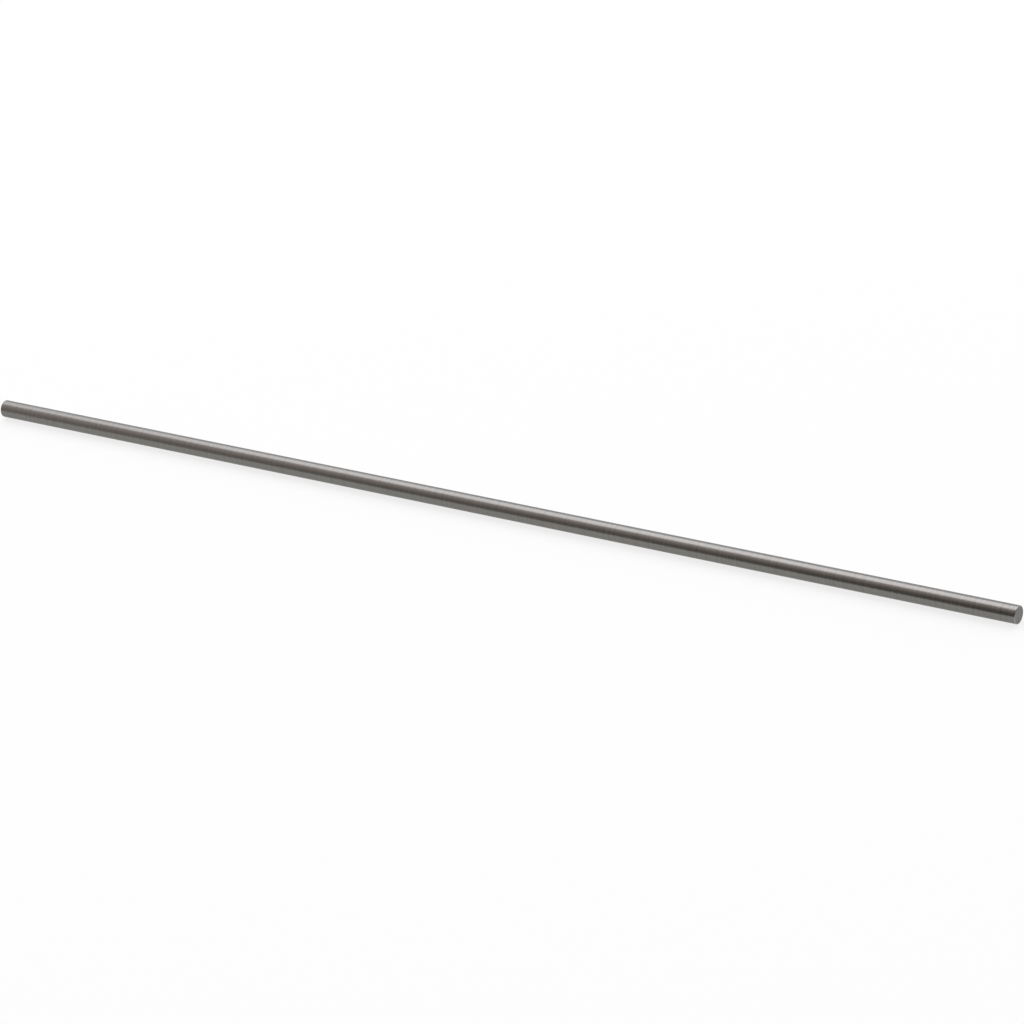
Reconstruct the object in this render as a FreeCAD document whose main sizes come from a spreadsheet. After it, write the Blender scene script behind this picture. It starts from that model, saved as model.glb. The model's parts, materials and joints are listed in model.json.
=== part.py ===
"""Pin gauge: a plain hardened steel pin, ground and lapped to one exact diameter.

It checks a hole by going in or not, so its diameter is the same all along and both ends
work alike. It is one piece: a bar ground true between wheels, with its ends ground square
and each sharp end edge stoned to a small round.

Frame: millimetres. The pin lies level along X, its middle is the origin and +Z is up.
"""

import FreeCAD, Part
import Sketcher
import os

OUTPUT_FOLDER = "parts"

doc = FreeCAD.newDocument("pin_gauge")


# ---- Driving dimensions ----

# alias in the sheet, size in millimetres, what it measures
DRIVING_DIMENSIONS = [
    ("gauge_length", 50.8, "one end face to the other, 2 in"),
    ("gauge_diameter", 0.762, "the exact diameter that does the checking, 0.030 in"),
    ("edge_round", 0.03, "radius of the stoned round where the side meets an end face"),
]


def make_sheet():
    """The spreadsheet that every feature reads its size from."""
    sheet = doc.addObject("Spreadsheet::Sheet", "sizes")
    for row, (alias, value, meaning) in enumerate(DRIVING_DIMENSIONS, start=1):
        sheet.set(f"A{row}", alias)
        sheet.set(f"B{row}", str(value))
        sheet.set(f"C{row}", meaning)
        sheet.setAlias(f"B{row}", alias)
    doc.recompute()
    return sheet


sizes = make_sheet()


# ---- The gauge pin ----


def origin_plane(body, role):
    """One of the three planes that a body carries at its own origin."""
    return next(feature for feature in body.Origin.OriginFeatures if feature.Role == role)


def draw_cross_section(body):
    """A circle of the gauge diameter, centred on the pin's axis and square to it."""
    sketch = body.newObject("Sketcher::SketchObject", "cross_section")
    sketch.AttachmentSupport = [(origin_plane(body, "YZ_Plane"), "")]
    sketch.MapMode = "FlatFace"
    axis = FreeCAD.Vector(0, 0, 1)
    circle = sketch.addGeometry(Part.Circle(FreeCAD.Vector(), axis, sizes.gauge_diameter / 2))
    circle_centre = (circle, 3)
    sketch_origin = (-1, 1)
    sketch.addConstraint(Sketcher.Constraint("Coincident", *circle_centre, *sketch_origin))
    diameter = sketch.addConstraint(Sketcher.Constraint("Diameter", circle, sizes.gauge_diameter))
    sketch.renameConstraint(diameter, "gauge_diameter")
    sketch.setExpression("Constraints.gauge_diameter", "sizes.gauge_diameter")
    return sketch


def grind_bar(body, cross_section):
    """The true cylinder, half its length to each side of the middle."""
    bar = body.newObject("PartDesign::Pad", "ground_bar")
    bar.Profile = cross_section
    bar.SideType = "Symmetric"
    bar.setExpression("Length", "sizes.gauge_length")
    return bar


def end_circles(shape):
    """Names of the circular edges where the side meets the two end faces."""
    numbered_edges = enumerate(shape.Edges, start=1)
    return [f"Edge{number}" for number, edge in numbered_edges if isinstance(edge.Curve, Part.Circle)]


def stone_end_edges(body, bar):
    """The small round that takes the sharp edge off both ends."""
    rounds = body.newObject("PartDesign::Fillet", "stoned_edges")
    rounds.Base = (bar, end_circles(bar.Shape))
    rounds.setExpression("Radius", "sizes.edge_round")
    return rounds


def make_gauge_pin():
    """The whole gauge: a round bar along X with its two end edges stoned."""
    body = doc.addObject("PartDesign::Body", "gauge_pin")
    body.Label = "gauge_pin"
    cross_section = draw_cross_section(body)
    bar = grind_bar(body, cross_section)
    doc.recompute()
    stone_end_edges(body, bar)
    doc.recompute()
    return body


sub_parts = [make_gauge_pin()]


# ---- Check and write ----


def check_document():
    """Stop if a feature failed, or if a sub-part has no valid single solid."""
    failed = [item.Name for item in doc.Objects if {"Invalid", "Error"} & set(item.State)]
    if failed:
        raise RuntimeError(f"these features failed: {failed}")
    for sub_part in sub_parts:
        shape = sub_part.Shape
        if shape.isNull() or not shape.isValid() or len(shape.Solids) != 1:
            raise RuntimeError(f"{sub_part.Label} is not one valid solid")


def write_sub_parts():
    """One STEP file for each sub-part, named after its node."""
    os.makedirs(OUTPUT_FOLDER, exist_ok=True)
    for sub_part in sub_parts:
        sub_part.Shape.exportStep(os.path.join(OUTPUT_FOLDER, f"{sub_part.Label}.step"))
        box = sub_part.Shape.optimalBoundingBox(False)
        print(f"{sub_part.Label}: {box.XLength:.4f} x {box.YLength:.4f} x {box.ZLength:.4f} mm,")
        print(f"  volume {sub_part.Shape.Volume:.4f} mm3")


check_document()
write_sub_parts()
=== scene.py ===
# %% [markdown]
# # A pin gauge
# A pin gauge is a short steel wire made with great care: hardened, ground between two wheels and
# lapped until its diameter is right to a thousandth of a millimetre. It checks a hole by going in
# or not. There is nothing on it but its shape and its finish, so this lesson is about two things:
# an exact, finely divided mesh, and bare ground steel that looks right because of what it
# reflects. The measured pin comes first, and every size is worked out from it.

# %% Load the measured pin
import json
import math

import bmesh
import bpy
from mathutils import Matrix, Quaternion, Vector


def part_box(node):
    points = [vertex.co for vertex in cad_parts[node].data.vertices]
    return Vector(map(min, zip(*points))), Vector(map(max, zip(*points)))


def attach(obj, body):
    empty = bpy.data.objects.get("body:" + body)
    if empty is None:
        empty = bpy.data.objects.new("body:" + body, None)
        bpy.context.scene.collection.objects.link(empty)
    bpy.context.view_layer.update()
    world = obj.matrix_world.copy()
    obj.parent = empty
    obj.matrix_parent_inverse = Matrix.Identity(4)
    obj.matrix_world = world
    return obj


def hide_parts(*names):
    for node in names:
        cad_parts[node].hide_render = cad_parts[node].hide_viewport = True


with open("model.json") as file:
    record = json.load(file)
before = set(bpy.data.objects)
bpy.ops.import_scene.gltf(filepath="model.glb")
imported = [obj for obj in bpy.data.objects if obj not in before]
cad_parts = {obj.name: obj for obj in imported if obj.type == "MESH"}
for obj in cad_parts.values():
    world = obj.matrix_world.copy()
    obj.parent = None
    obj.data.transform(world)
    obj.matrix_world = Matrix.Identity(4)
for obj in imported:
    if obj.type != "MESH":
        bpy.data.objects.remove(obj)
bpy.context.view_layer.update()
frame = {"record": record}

# %% [markdown]
# ## The sizes
# The pin lies along X with its middle at the origin. Its box gives the length. The record states
# the gauging cylinder, the part of the side that is exactly round: its radius, and its length,
# which stops where the end edges start to curve. Half of what is left over is the radius of that
# curve, so no size is typed in twice.

# %% Read the pin's sizes
gauging_cylinder = next(
    mount for mount in frame["record"]["mounts"] if mount["name"] == "gauging_cylinder"
)
MM = 0.001
box_low, box_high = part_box("gauge_pin")
LENGTH = box_high.x - box_low.x
RADIUS = gauging_cylinder["dims"]["r_mm"] * MM
EDGE_ROUND = (LENGTH - gauging_cylinder["dims"]["length_mm"] * MM) / 2
print(f"length {LENGTH / MM:.2f} mm, radius {RADIUS / MM:.4f} mm, edges {EDGE_ROUND / MM:.3f} mm")

# %% [markdown]
# ## The bar
# A real pin starts as a length of drawn wire. A cylinder from create_cone, with both radii equal,
# is the same thing: a straight side and two flat caps. The measured mesh has few sides and would
# show them in its highlights, so this bar has many. The cylinder is made standing up, and a
# quarter turn about Y lays it down along X.

# %% Cut a bar
SIDES_ROUND_THE_BAR = 160

def cut_bar():
    """A round bar of the pin's exact length and radius, lying along X."""
    bar = bmesh.new()
    bmesh.ops.create_cone(
        bar, cap_ends=True, cap_tris=False, segments=SIDES_ROUND_THE_BAR,
        radius1=RADIUS, radius2=RADIUS, depth=LENGTH,
        matrix=Matrix.Rotation(math.radians(90), 4, "Y"),
    )
    return bar

pin_mesh = cut_bar()
print("bar:", len(pin_mesh.faces), "faces")

# %% [markdown]
# ## The stoned edges
# The ends are ground square, which leaves an edge sharp enough to scrape the hole it checks, so
# each one is touched with a fine stone. Bevel makes that curve. An edge belongs to an end if its
# middle lies in the plane of that end's cap. The long edges of the side have both their corners in
# those planes, but not their middle, so they stay as they are. Eight segments are plenty for a
# curve that is thinner than a hair, and a profile of 0.5 makes it a true quarter circle.

# %% Stone the end edges
ROUND_SEGMENTS = 8
TOUCHING = 1e-7

def at_an_end(edge):
    """True for an edge that lies in the plane of an end cap, not for one from end to end."""
    middle = (edge.verts[0].co + edge.verts[1].co) / 2
    return abs(abs(middle.x) - LENGTH / 2) < TOUCHING

def stone_end_edges(mesh):
    """Turn both sharp end edges into small quarter rounds."""
    bmesh.ops.bevel(
        mesh, geom=[edge for edge in mesh.edges if at_an_end(edge)],
        offset=EDGE_ROUND, offset_type="OFFSET", affect="EDGES",
        segments=ROUND_SEGMENTS, profile=0.5, material=-1, clamp_overlap=True,
    )

stone_end_edges(pin_mesh)
print("with stoned edges:", len(pin_mesh.faces), "faces")

# %% [markdown]
# ## Rings along the side
# A smooth face shares its shading with its neighbours. Beside the small rounds, one face as long
# as the whole pin would carry their slant half way along the side. Bisect_plane cuts a ring just
# inside each round, which stops that, and three more rings quarter the side for the next step.

# %% Cut rings along the side
STRIPS = 4
HOLDING_GAP = EDGE_ROUND / 2
STRIP_LENGTH = LENGTH / STRIPS

def cut_rings(mesh, places):
    """Divide the side where a plane across the pin meets it."""
    for place in places:
        bmesh.ops.bisect_plane(
            mesh, geom=mesh.verts[:] + mesh.edges[:] + mesh.faces[:],
            dist=TOUCHING, plane_co=(place, 0, 0), plane_no=(1, 0, 0),
        )

holding_ring = LENGTH / 2 - EDGE_ROUND - HOLDING_GAP
quarter_rings = [-LENGTH / 2 + STRIP_LENGTH * strip for strip in range(1, STRIPS)]
cut_rings(pin_mesh, [-holding_ring, *quarter_rings, holding_ring])
print("with rings:", len(pin_mesh.faces), "faces")

# %% [markdown]
# ## A map of the skin
# When the finish is turned into pictures for other programs, each face needs a place on a square.
# Unrolled, this side is 21 times as long as it is wide and would waste nearly all of the square.
# Cut into four strips laid one above the other it fills most of it, so the pictures hold four
# times the detail. U always runs along the pin, or across the grinding lines on an end, and the
# finish uses that direction too. OFBake is the name that the export looks for.

# %% Lay the skin out in strips
MAP_NAME = "OFBake"
MARGIN = 0.01
STRIP_SCALE = (1 - 2 * MARGIN) / (STRIP_LENGTH + EDGE_ROUND)
STRIP_HEIGHT = 2 * math.pi * RADIUS * STRIP_SCALE
STRIP_STEP = STRIP_HEIGHT + MARGIN
DISC = 1 - STRIPS * STRIP_STEP - 2 * MARGIN
DISC_SCALE = DISC / (2 * (RADIUS - EDGE_ROUND))

def is_end_cap(face):
    """True for a flat end, which looks straight along X."""
    return abs(face.normal.x) > 1 - TOUCHING

def place_on_disc(face, corner):
    """Where a corner of an end cap goes: the two discs lie side by side above the strips."""
    end = math.copysign(1, face.normal.x)
    centre_u = MARGIN + DISC / 2 + (MARGIN + DISC if end > 0 else 0)
    centre_v = 1 - MARGIN - DISC / 2
    return centre_u + end * corner.y * DISC_SCALE, centre_v + corner.z * DISC_SCALE

def place_on_strip(face, corner):
    """Where a corner of the side goes: along the pin in U, round it in V."""
    middle = face.calc_center_median()
    strip = min(int((middle.x + LENGTH / 2) / STRIP_LENGTH), STRIPS - 1)
    down_the_round = math.copysign(RADIUS - math.hypot(corner.y, corner.z), corner.x)
    along = corner.x + down_the_round + LENGTH / 2 - STRIP_LENGTH * strip
    start = EDGE_ROUND if strip == 0 else 0
    face_angle = math.atan2(middle.z, middle.y)
    past_face = math.remainder(math.atan2(corner.z, corner.y) - face_angle, 2 * math.pi)
    turn = 0.5 - (face_angle + past_face) / (2 * math.pi)
    return MARGIN + (along + start) * STRIP_SCALE, MARGIN + strip * STRIP_STEP + turn * STRIP_HEIGHT

def lay_out(mesh):
    """Give every corner of every face its place on the map."""
    layer = mesh.loops.layers.uv.new(MAP_NAME)
    for face in mesh.faces:
        place = place_on_disc if is_end_cap(face) else place_on_strip
        for loop in face.loops:
            loop[layer].uv = place(face, loop.vert.co)

pin_mesh.normal_update()
lay_out(pin_mesh)
print(f"strips {STRIP_HEIGHT:.3f} high, discs {DISC:.3f} across")

# %% [markdown]
# ## Three finishes on one piece
# The side is ground and lapped, the ends are only ground, and the rounds are stoned by hand. They
# are one piece of steel, so they stay one mesh, and each face just names its material slot. The
# rounds curve into the caps, so they are told apart by place: a cap looks straight along X, and a
# round lies past the holding ring. The caps are flat shaded, which keeps them dead flat.

# %% Give each face its finish
SIDE, ROUND, END = 0, 1, 2

def finish_of(face):
    """The material slot of a face: the side, a stoned round or a ground end."""
    if is_end_cap(face):
        return END
    past_the_side = abs(face.calc_center_median().x) > LENGTH / 2 - EDGE_ROUND
    return ROUND if past_the_side else SIDE

for face in pin_mesh.faces:
    face.material_index = finish_of(face)
    face.smooth = face.material_index != END

# %% [markdown]
# ## From mesh to piece
# A bmesh is only a workpiece on the bench. To be seen it is copied into a mesh, and an object is
# made that holds it. The object stays at the origin, unturned and unscaled, because the pin was cut
# in its right place from the start.

# %% Turn the mesh into a piece
def make_piece(name, mesh):
    """Link a bmesh into the scene as an object at the origin."""
    data = bpy.data.meshes.new(name)
    mesh.to_mesh(data)
    mesh.free()
    piece = bpy.data.objects.new(name, data)
    bpy.context.scene.collection.objects.link(piece)
    return piece

ground_pin = make_piece("ground_pin", pin_mesh)
print("ground_pin:", len(ground_pin.data.polygons), "faces")

# %% [markdown]
# ## Two helpers for nodes
# Everything that follows is built from nodes. One helper adds a node together with its settings and
# values, and the other makes an empty node group with named sockets, so that each finish can be read
# as a short list.

# %% Node helpers
def add_node(tree, kind, **settings):
    """A node with its settings, and with values for the inputs that are named."""
    node = tree.nodes.new(kind)
    values = settings.pop("values", {})
    for setting, value in settings.items():
        setattr(node, setting, value)
    for socket, value in values.items():
        node.inputs[socket].default_value = value
    return node

def new_group(name, inputs, outputs):
    """An empty node group with named sockets, and its two end nodes."""
    group = bpy.data.node_groups.new(name, "ShaderNodeTree")
    for socket, kind in inputs.items():
        group.interface.new_socket(socket, in_out="INPUT", socket_type=kind)
    for socket, kind in outputs.items():
        group.interface.new_socket(socket, in_out="OUTPUT", socket_type=kind)
    return group, add_node(group, "NodeGroupInput"), add_node(group, "NodeGroupOutput")

# %% [markdown]
# ## The mark of the wheel
# A grinding wheel leaves very fine lines. On the side they run round the pin, and on the ends they
# run straight across. Both come from one node group: noise that is squeezed across the lines and
# drawn out along them. It takes a position whose X runs across the lines. Height is the relief,
# and Tone is a change of shade from line to line and from one patch of lines to the next. Noise
# seldom strays far from 0.5, so a Map Range node stretches its middle to the whole of 0 to 1. The
# lines can then be told apart close by, and melt into an even grey from further off.

# %% Grinding lines as a node group
LINES_IN_A_PATCH = 4
DARKEST_NOISE, LIGHTEST_NOISE = 0.35, 0.65
LINE_DETAIL, PATCH_DETAIL, PATCH_ROUGHNESS = 3, 4, 0.6

def make_grinding_lines():
    """Fine lines along Y and Z, spread out along X."""
    group, given, result = new_group(
        "Grinding lines",
        {"Position": "NodeSocketVector", "Line width": "NodeSocketFloat",
         "Line length": "NodeSocketFloat"},
        {"Height": "NodeSocketFloat", "Tone": "NodeSocketFloat"},
    )
    link = group.links.new
    cell = add_node(group, "ShaderNodeCombineXYZ")
    link(given.outputs["Line width"], cell.inputs["X"])
    link(given.outputs["Line length"], cell.inputs["Y"])
    link(given.outputs["Line length"], cell.inputs["Z"])
    squeezed = add_node(group, "ShaderNodeVectorMath", operation="DIVIDE")
    link(given.outputs["Position"], squeezed.inputs[0])
    link(cell.outputs["Vector"], squeezed.inputs[1])
    fine = add_node(group, "ShaderNodeTexNoise", values={"Scale": 1, "Detail": LINE_DETAIL})
    patches = add_node(
        group, "ShaderNodeTexNoise",
        values={
            "Scale": 1 / LINES_IN_A_PATCH, "Detail": PATCH_DETAIL, "Roughness": PATCH_ROUGHNESS,
        },
    )
    link(squeezed.outputs["Vector"], fine.inputs["Vector"])
    link(squeezed.outputs["Vector"], patches.inputs["Vector"])
    stretched = add_node(
        group, "ShaderNodeMapRange",
        values={"From Min": DARKEST_NOISE, "From Max": LIGHTEST_NOISE},
    )
    link(patches.outputs["Fac"], stretched.inputs["Value"])
    link(fine.outputs["Fac"], result.inputs["Height"])
    link(stretched.outputs["Result"], result.inputs["Tone"])
    return group

grinding_lines = make_grinding_lines()
print("node group:", grinding_lines.name)

# %% [markdown]
# ## Bare steel
# Metal has no colour of its own apart from a tint on what it reflects, so the Principled shader
# gets a Metallic of 1 and a grey Base Color with a trace of warmth. The steel is not a mirror:
# light spreads out across the lines, and so along the pin. Anisotropic does that, and the Tangent
# node gives it the direction, U on the map. Tone moves the colour and the roughness a little.

# %% Steel that has been ground
EDGE_TINT = (0.85, 0.85, 0.85)

def ground_steel(name, dark, light, smoothest, roughest, turn, line_width, line_length, depth, spread):
    """Bare steel with grinding lines. turn, about Z, brings X across the lines."""
    material = bpy.data.materials.new(name)
    material.use_nodes = True
    tree = material.node_tree
    link = tree.links.new
    steel = tree.nodes["Principled BSDF"]
    steel.inputs["Metallic"].default_value = 1
    steel.inputs["Anisotropic"].default_value = spread
    steel.inputs["Specular Tint"].default_value = (*EDGE_TINT, 1)
    place = add_node(tree, "ShaderNodeTexCoord")
    turned = add_node(tree, "ShaderNodeMapping", values={"Rotation": (0, 0, turn)})
    lines = add_node(
        tree, "ShaderNodeGroup", node_tree=grinding_lines,
        values={"Line width": line_width, "Line length": line_length},
    )
    link(place.outputs["Object"], turned.inputs["Vector"])
    link(turned.outputs["Vector"], lines.inputs["Position"])
    colour = add_node(tree, "ShaderNodeMix", data_type="RGBA")
    colour.inputs["A"].default_value = (*dark, 1)
    colour.inputs["B"].default_value = (*light, 1)
    link(lines.outputs["Tone"], colour.inputs["Factor"])
    link(colour.outputs["Result"], steel.inputs["Base Color"])
    rough = add_node(tree, "ShaderNodeMapRange", values={"To Min": smoothest, "To Max": roughest})
    link(lines.outputs["Tone"], rough.inputs["Value"])
    link(rough.outputs["Result"], steel.inputs["Roughness"])
    relief = add_node(tree, "ShaderNodeBump", values={"Strength": 1, "Distance": depth})
    link(lines.outputs["Height"], relief.inputs["Height"])
    link(relief.outputs["Normal"], steel.inputs["Normal"])
    across = add_node(tree, "ShaderNodeTangent", direction_type="UV_MAP", uv_map=MAP_NAME)
    link(across.outputs["Tangent"], steel.inputs["Tangent"])
    return material

# %% [markdown]
# ## The values of the three finishes
# The side is lapped, so its relief is only a few ten-thousandths of a millimetre, and most of its
# look comes from the spread of light along the pin. The stone leaves the edge smoother still, with
# lines that are shorter. Its lighter base colour is partly the stone's brighter finish and partly a
# painted highlight, which makes the glints along the end edges stronger. The ends come straight from
# a coarser wheel: they are the roughest, and their lines are turned a quarter so that they run
# straight up and down.

# %% The three finishes
side_steel = ground_steel(
    "lapped side", dark=(0.177, 0.171, 0.161), light=(0.219, 0.213, 0.200),
    smoothest=0.29, roughest=0.325, turn=0,
    line_width=0.03 * MM, line_length=1.5 * MM, depth=0.0004 * MM, spread=0.38,
)
# The stoned edge's lighter base colour is partly its brighter finish and partly a painted highlight
# that makes the glints on the end edges stronger.
round_steel_with_painted_glint = ground_steel(
    "stoned edge", dark=(0.27, 0.264, 0.255), light=(0.33, 0.323, 0.313),
    smoothest=0.22, roughest=0.28, turn=0,
    line_width=0.02 * MM, line_length=0.4 * MM, depth=0.0001 * MM, spread=0.2,
)
end_steel = ground_steel(
    "ground end", dark=(0.20, 0.194, 0.184), light=(0.25, 0.243, 0.231),
    smoothest=0.45, roughest=0.55, turn=math.radians(-90),
    line_width=0.015 * MM, line_length=0.5 * MM, depth=0.0005 * MM, spread=0.4,
)
for finish in (side_steel, round_steel_with_painted_glint, end_steel):
    ground_pin.data.materials.append(finish)
print("finishes:", [slot.name for slot in ground_pin.material_slots])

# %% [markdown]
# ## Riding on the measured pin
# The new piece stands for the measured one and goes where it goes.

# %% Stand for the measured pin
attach(ground_pin, "root")
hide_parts("gauge_pin")
print(ground_pin.name, "stands for gauge_pin")

# %% [markdown]
# ## The table
# The pin lies on a white table. The table is lit by the lamp and the room like anything else, and
# it also glows, as a light table does, which keeps it white right to the edge of the picture and
# softens the pin's shadow. The glow is for the camera and for what steel reflects, and lights
# nothing.

# %% Lay the table
TABLE_SIZE = 6
TABLE_WHITE = (0.9, 0.9, 0.9, 1)
GLOW_SHARE = 0.8

def make_white_table():
    """White paper that shows its own glow to the camera and in reflections."""
    material = bpy.data.materials.new("white table")
    material.use_nodes = True
    tree = material.node_tree
    link = tree.links.new
    paper = tree.nodes["Principled BSDF"]
    paper.inputs["Base Color"].default_value = TABLE_WHITE
    paper.inputs["Roughness"].default_value = 1
    paper.inputs["Specular IOR Level"].default_value = 0
    glow = add_node(tree, "ShaderNodeEmission", values={"Strength": 1})
    path = add_node(tree, "ShaderNodeLightPath")
    seen = add_node(tree, "ShaderNodeMath", operation="MAXIMUM")
    link(path.outputs["Is Camera Ray"], seen.inputs[0])
    link(path.outputs["Is Glossy Ray"], seen.inputs[1])
    seen_or_through = add_node(tree, "ShaderNodeMath", operation="MAXIMUM")
    link(seen.outputs["Value"], seen_or_through.inputs[0])
    link(path.outputs["Is Transmission Ray"], seen_or_through.inputs[1])
    share = add_node(tree, "ShaderNodeMath", operation="MULTIPLY")
    share.inputs[1].default_value = GLOW_SHARE
    link(seen_or_through.outputs["Value"], share.inputs[0])
    both = add_node(tree, "ShaderNodeMixShader")
    link(share.outputs["Value"], both.inputs["Fac"])
    link(paper.outputs["BSDF"], both.inputs[1])
    link(glow.outputs["Emission"], both.inputs[2])
    link(both.outputs["Shader"], tree.nodes["Material Output"].inputs["Surface"])
    return material

table_mesh = bmesh.new()
bmesh.ops.create_grid(
    table_mesh, size=TABLE_SIZE / 2, matrix=Matrix.Translation((0, 0, -RADIUS))
)
table = make_piece("table", table_mesh)
table.data.materials.append(make_white_table())
print(f"table: {TABLE_SIZE} m square, its top {RADIUS / MM:.3f} mm below the pin's axis")

# %% [markdown]
# ## The room
# Bare steel shows the room around it, so the room matters more here than the steel's own colour. It
# is bright overhead and behind, and dim and a little warm in front, which gives the dark line along
# the middle of the pin. A world whose colour depends on one direction is the simplest such room: a
# Dot Product says how far each direction leans towards the bright side, and a ramp gives it a shade.

# %% The room
BRIGHT_SIDE = Vector((-0.65, 0.74, -0.14)).normalized()
FARTHEST_FROM_IT, NEAREST_TO_IT = -0.5, 0.45
ROOM_STRENGTH = 1.15
ROOM = [
    (0.000, (0.048, 0.042, 0.034)),
    (0.158, (0.062, 0.053, 0.044)),
    (0.316, (0.550, 0.520, 0.485)),
    (0.474, (0.750, 0.645, 0.640)),
    (0.684, (0.920, 0.830, 0.805)),
    (1.000, (0.860, 0.850, 0.895)),
]

def make_room():
    """A world that grows brighter towards one side."""
    world = bpy.data.worlds.new("room")
    world.use_nodes = True
    tree = world.node_tree
    link = tree.links.new
    direction = add_node(tree, "ShaderNodeTexCoord")
    towards = add_node(tree, "ShaderNodeVectorMath", operation="DOT_PRODUCT")
    towards.inputs[1].default_value = BRIGHT_SIDE
    link(direction.outputs["Generated"], towards.inputs[0])
    span = add_node(
        tree, "ShaderNodeMapRange",
        values={"From Min": FARTHEST_FROM_IT, "From Max": NEAREST_TO_IT},
    )
    link(towards.outputs["Value"], span.inputs["Value"])
    walls = add_node(tree, "ShaderNodeValToRGB")
    ramp = walls.color_ramp
    while len(ramp.elements) < len(ROOM):
        ramp.elements.new(0.5)
    for stop, (place, colour) in zip(ramp.elements, ROOM):
        stop.position = place
        stop.color = (*colour, 1)
    link(span.outputs["Result"], walls.inputs["Fac"])
    link(walls.outputs["Color"], tree.nodes["Background"].inputs["Color"])
    tree.nodes["Background"].inputs["Strength"].default_value = ROOM_STRENGTH
    return world

bpy.context.scene.world = make_room()
print("room:", len(ROOM), "shades")

# %% [markdown]
# ## The lamp
# One long soft box hangs over the pin, a little behind it, and gives the light line along its top.
# It is much longer than the pin, so that the line runs from end to end. An area lamp of radiance L
# needs an energy of L times pi times its area.

# %% The lamp
LAMP_TILT = math.radians(25.4)
LAMP_DISTANCE = 0.5
LAMP_LEFT, LAMP_RIGHT = -0.445, 0.197
LAMP_DEPTH = 0.52
LAMP_RADIANCE = 2.1
LAMP_COLOUR = (0.977, 0.994, 1.029)

def hang_lamp():
    """A long soft box over the pin, a little behind it, that faces it."""
    light = bpy.data.lights.new("soft box", "AREA")
    light.shape = "RECTANGLE"
    light.size, light.size_y = LAMP_RIGHT - LAMP_LEFT, LAMP_DEPTH
    light.energy = LAMP_RADIANCE * math.pi * light.size * light.size_y
    light.color = LAMP_COLOUR
    lamp = bpy.data.objects.new("soft box", light)
    above = Vector((0, math.sin(LAMP_TILT), math.cos(LAMP_TILT)))
    lamp.location = above * LAMP_DISTANCE + Vector(((LAMP_LEFT + LAMP_RIGHT) / 2, 0, 0))
    lamp.rotation_euler = (-LAMP_TILT, 0, 0)
    bpy.context.scene.collection.objects.link(lamp)
    return light

soft_box = hang_lamp()
print(f"soft box: {soft_box.size:.3f} m by {soft_box.size_y:.3f} m, {soft_box.energy:.2f} W")

# %% [markdown]
# ## The camera
# The camera stands in front of the pin, to its right and above it, a little over three and a half
# pin lengths away, with a long lens. A camera shows nothing nearer than its clip_start, which is
# 10 cm unless it is set, so a smaller one leaves room for a closer look at so small a thing. The
# small turn about the line of sight lays the pin across the picture.

# %% Set the camera
AZIMUTH, ELEVATION, ROLL = math.radians(37.594), math.radians(32), math.radians(-10.673)
DISTANCE = 3.62996 * LENGTH
LENS = 154.97
AIM_ALONG, AIM_UP = 0.03502 * LENGTH, -0.00034 * LENGTH

def set_camera():
    """A level look at the pin from the front right, then a small turn about the line of sight."""
    camera = bpy.data.objects.new("camera", bpy.data.cameras.new("camera"))
    camera.data.lens = LENS
    camera.data.clip_start = 0.005
    back = Vector((
        math.sin(AZIMUTH) * math.cos(ELEVATION),
        -math.cos(AZIMUTH) * math.cos(ELEVATION),
        math.sin(ELEVATION),
    ))
    level = back.to_track_quat("Z", "Y")
    up = level @ Vector((0, 1, 0))
    camera.location = Vector((AIM_ALONG, 0, 0)) + up * AIM_UP + back * DISTANCE
    camera.rotation_mode = "QUATERNION"
    camera.rotation_quaternion = level @ Quaternion((0, 0, 1), ROLL)
    bpy.context.scene.collection.objects.link(camera)
    bpy.context.scene.camera = camera

set_camera()
bpy.context.scene.view_settings.view_transform = "Standard"
print(f"camera: {DISTANCE / MM:.1f} mm away, lens {LENS} mm")
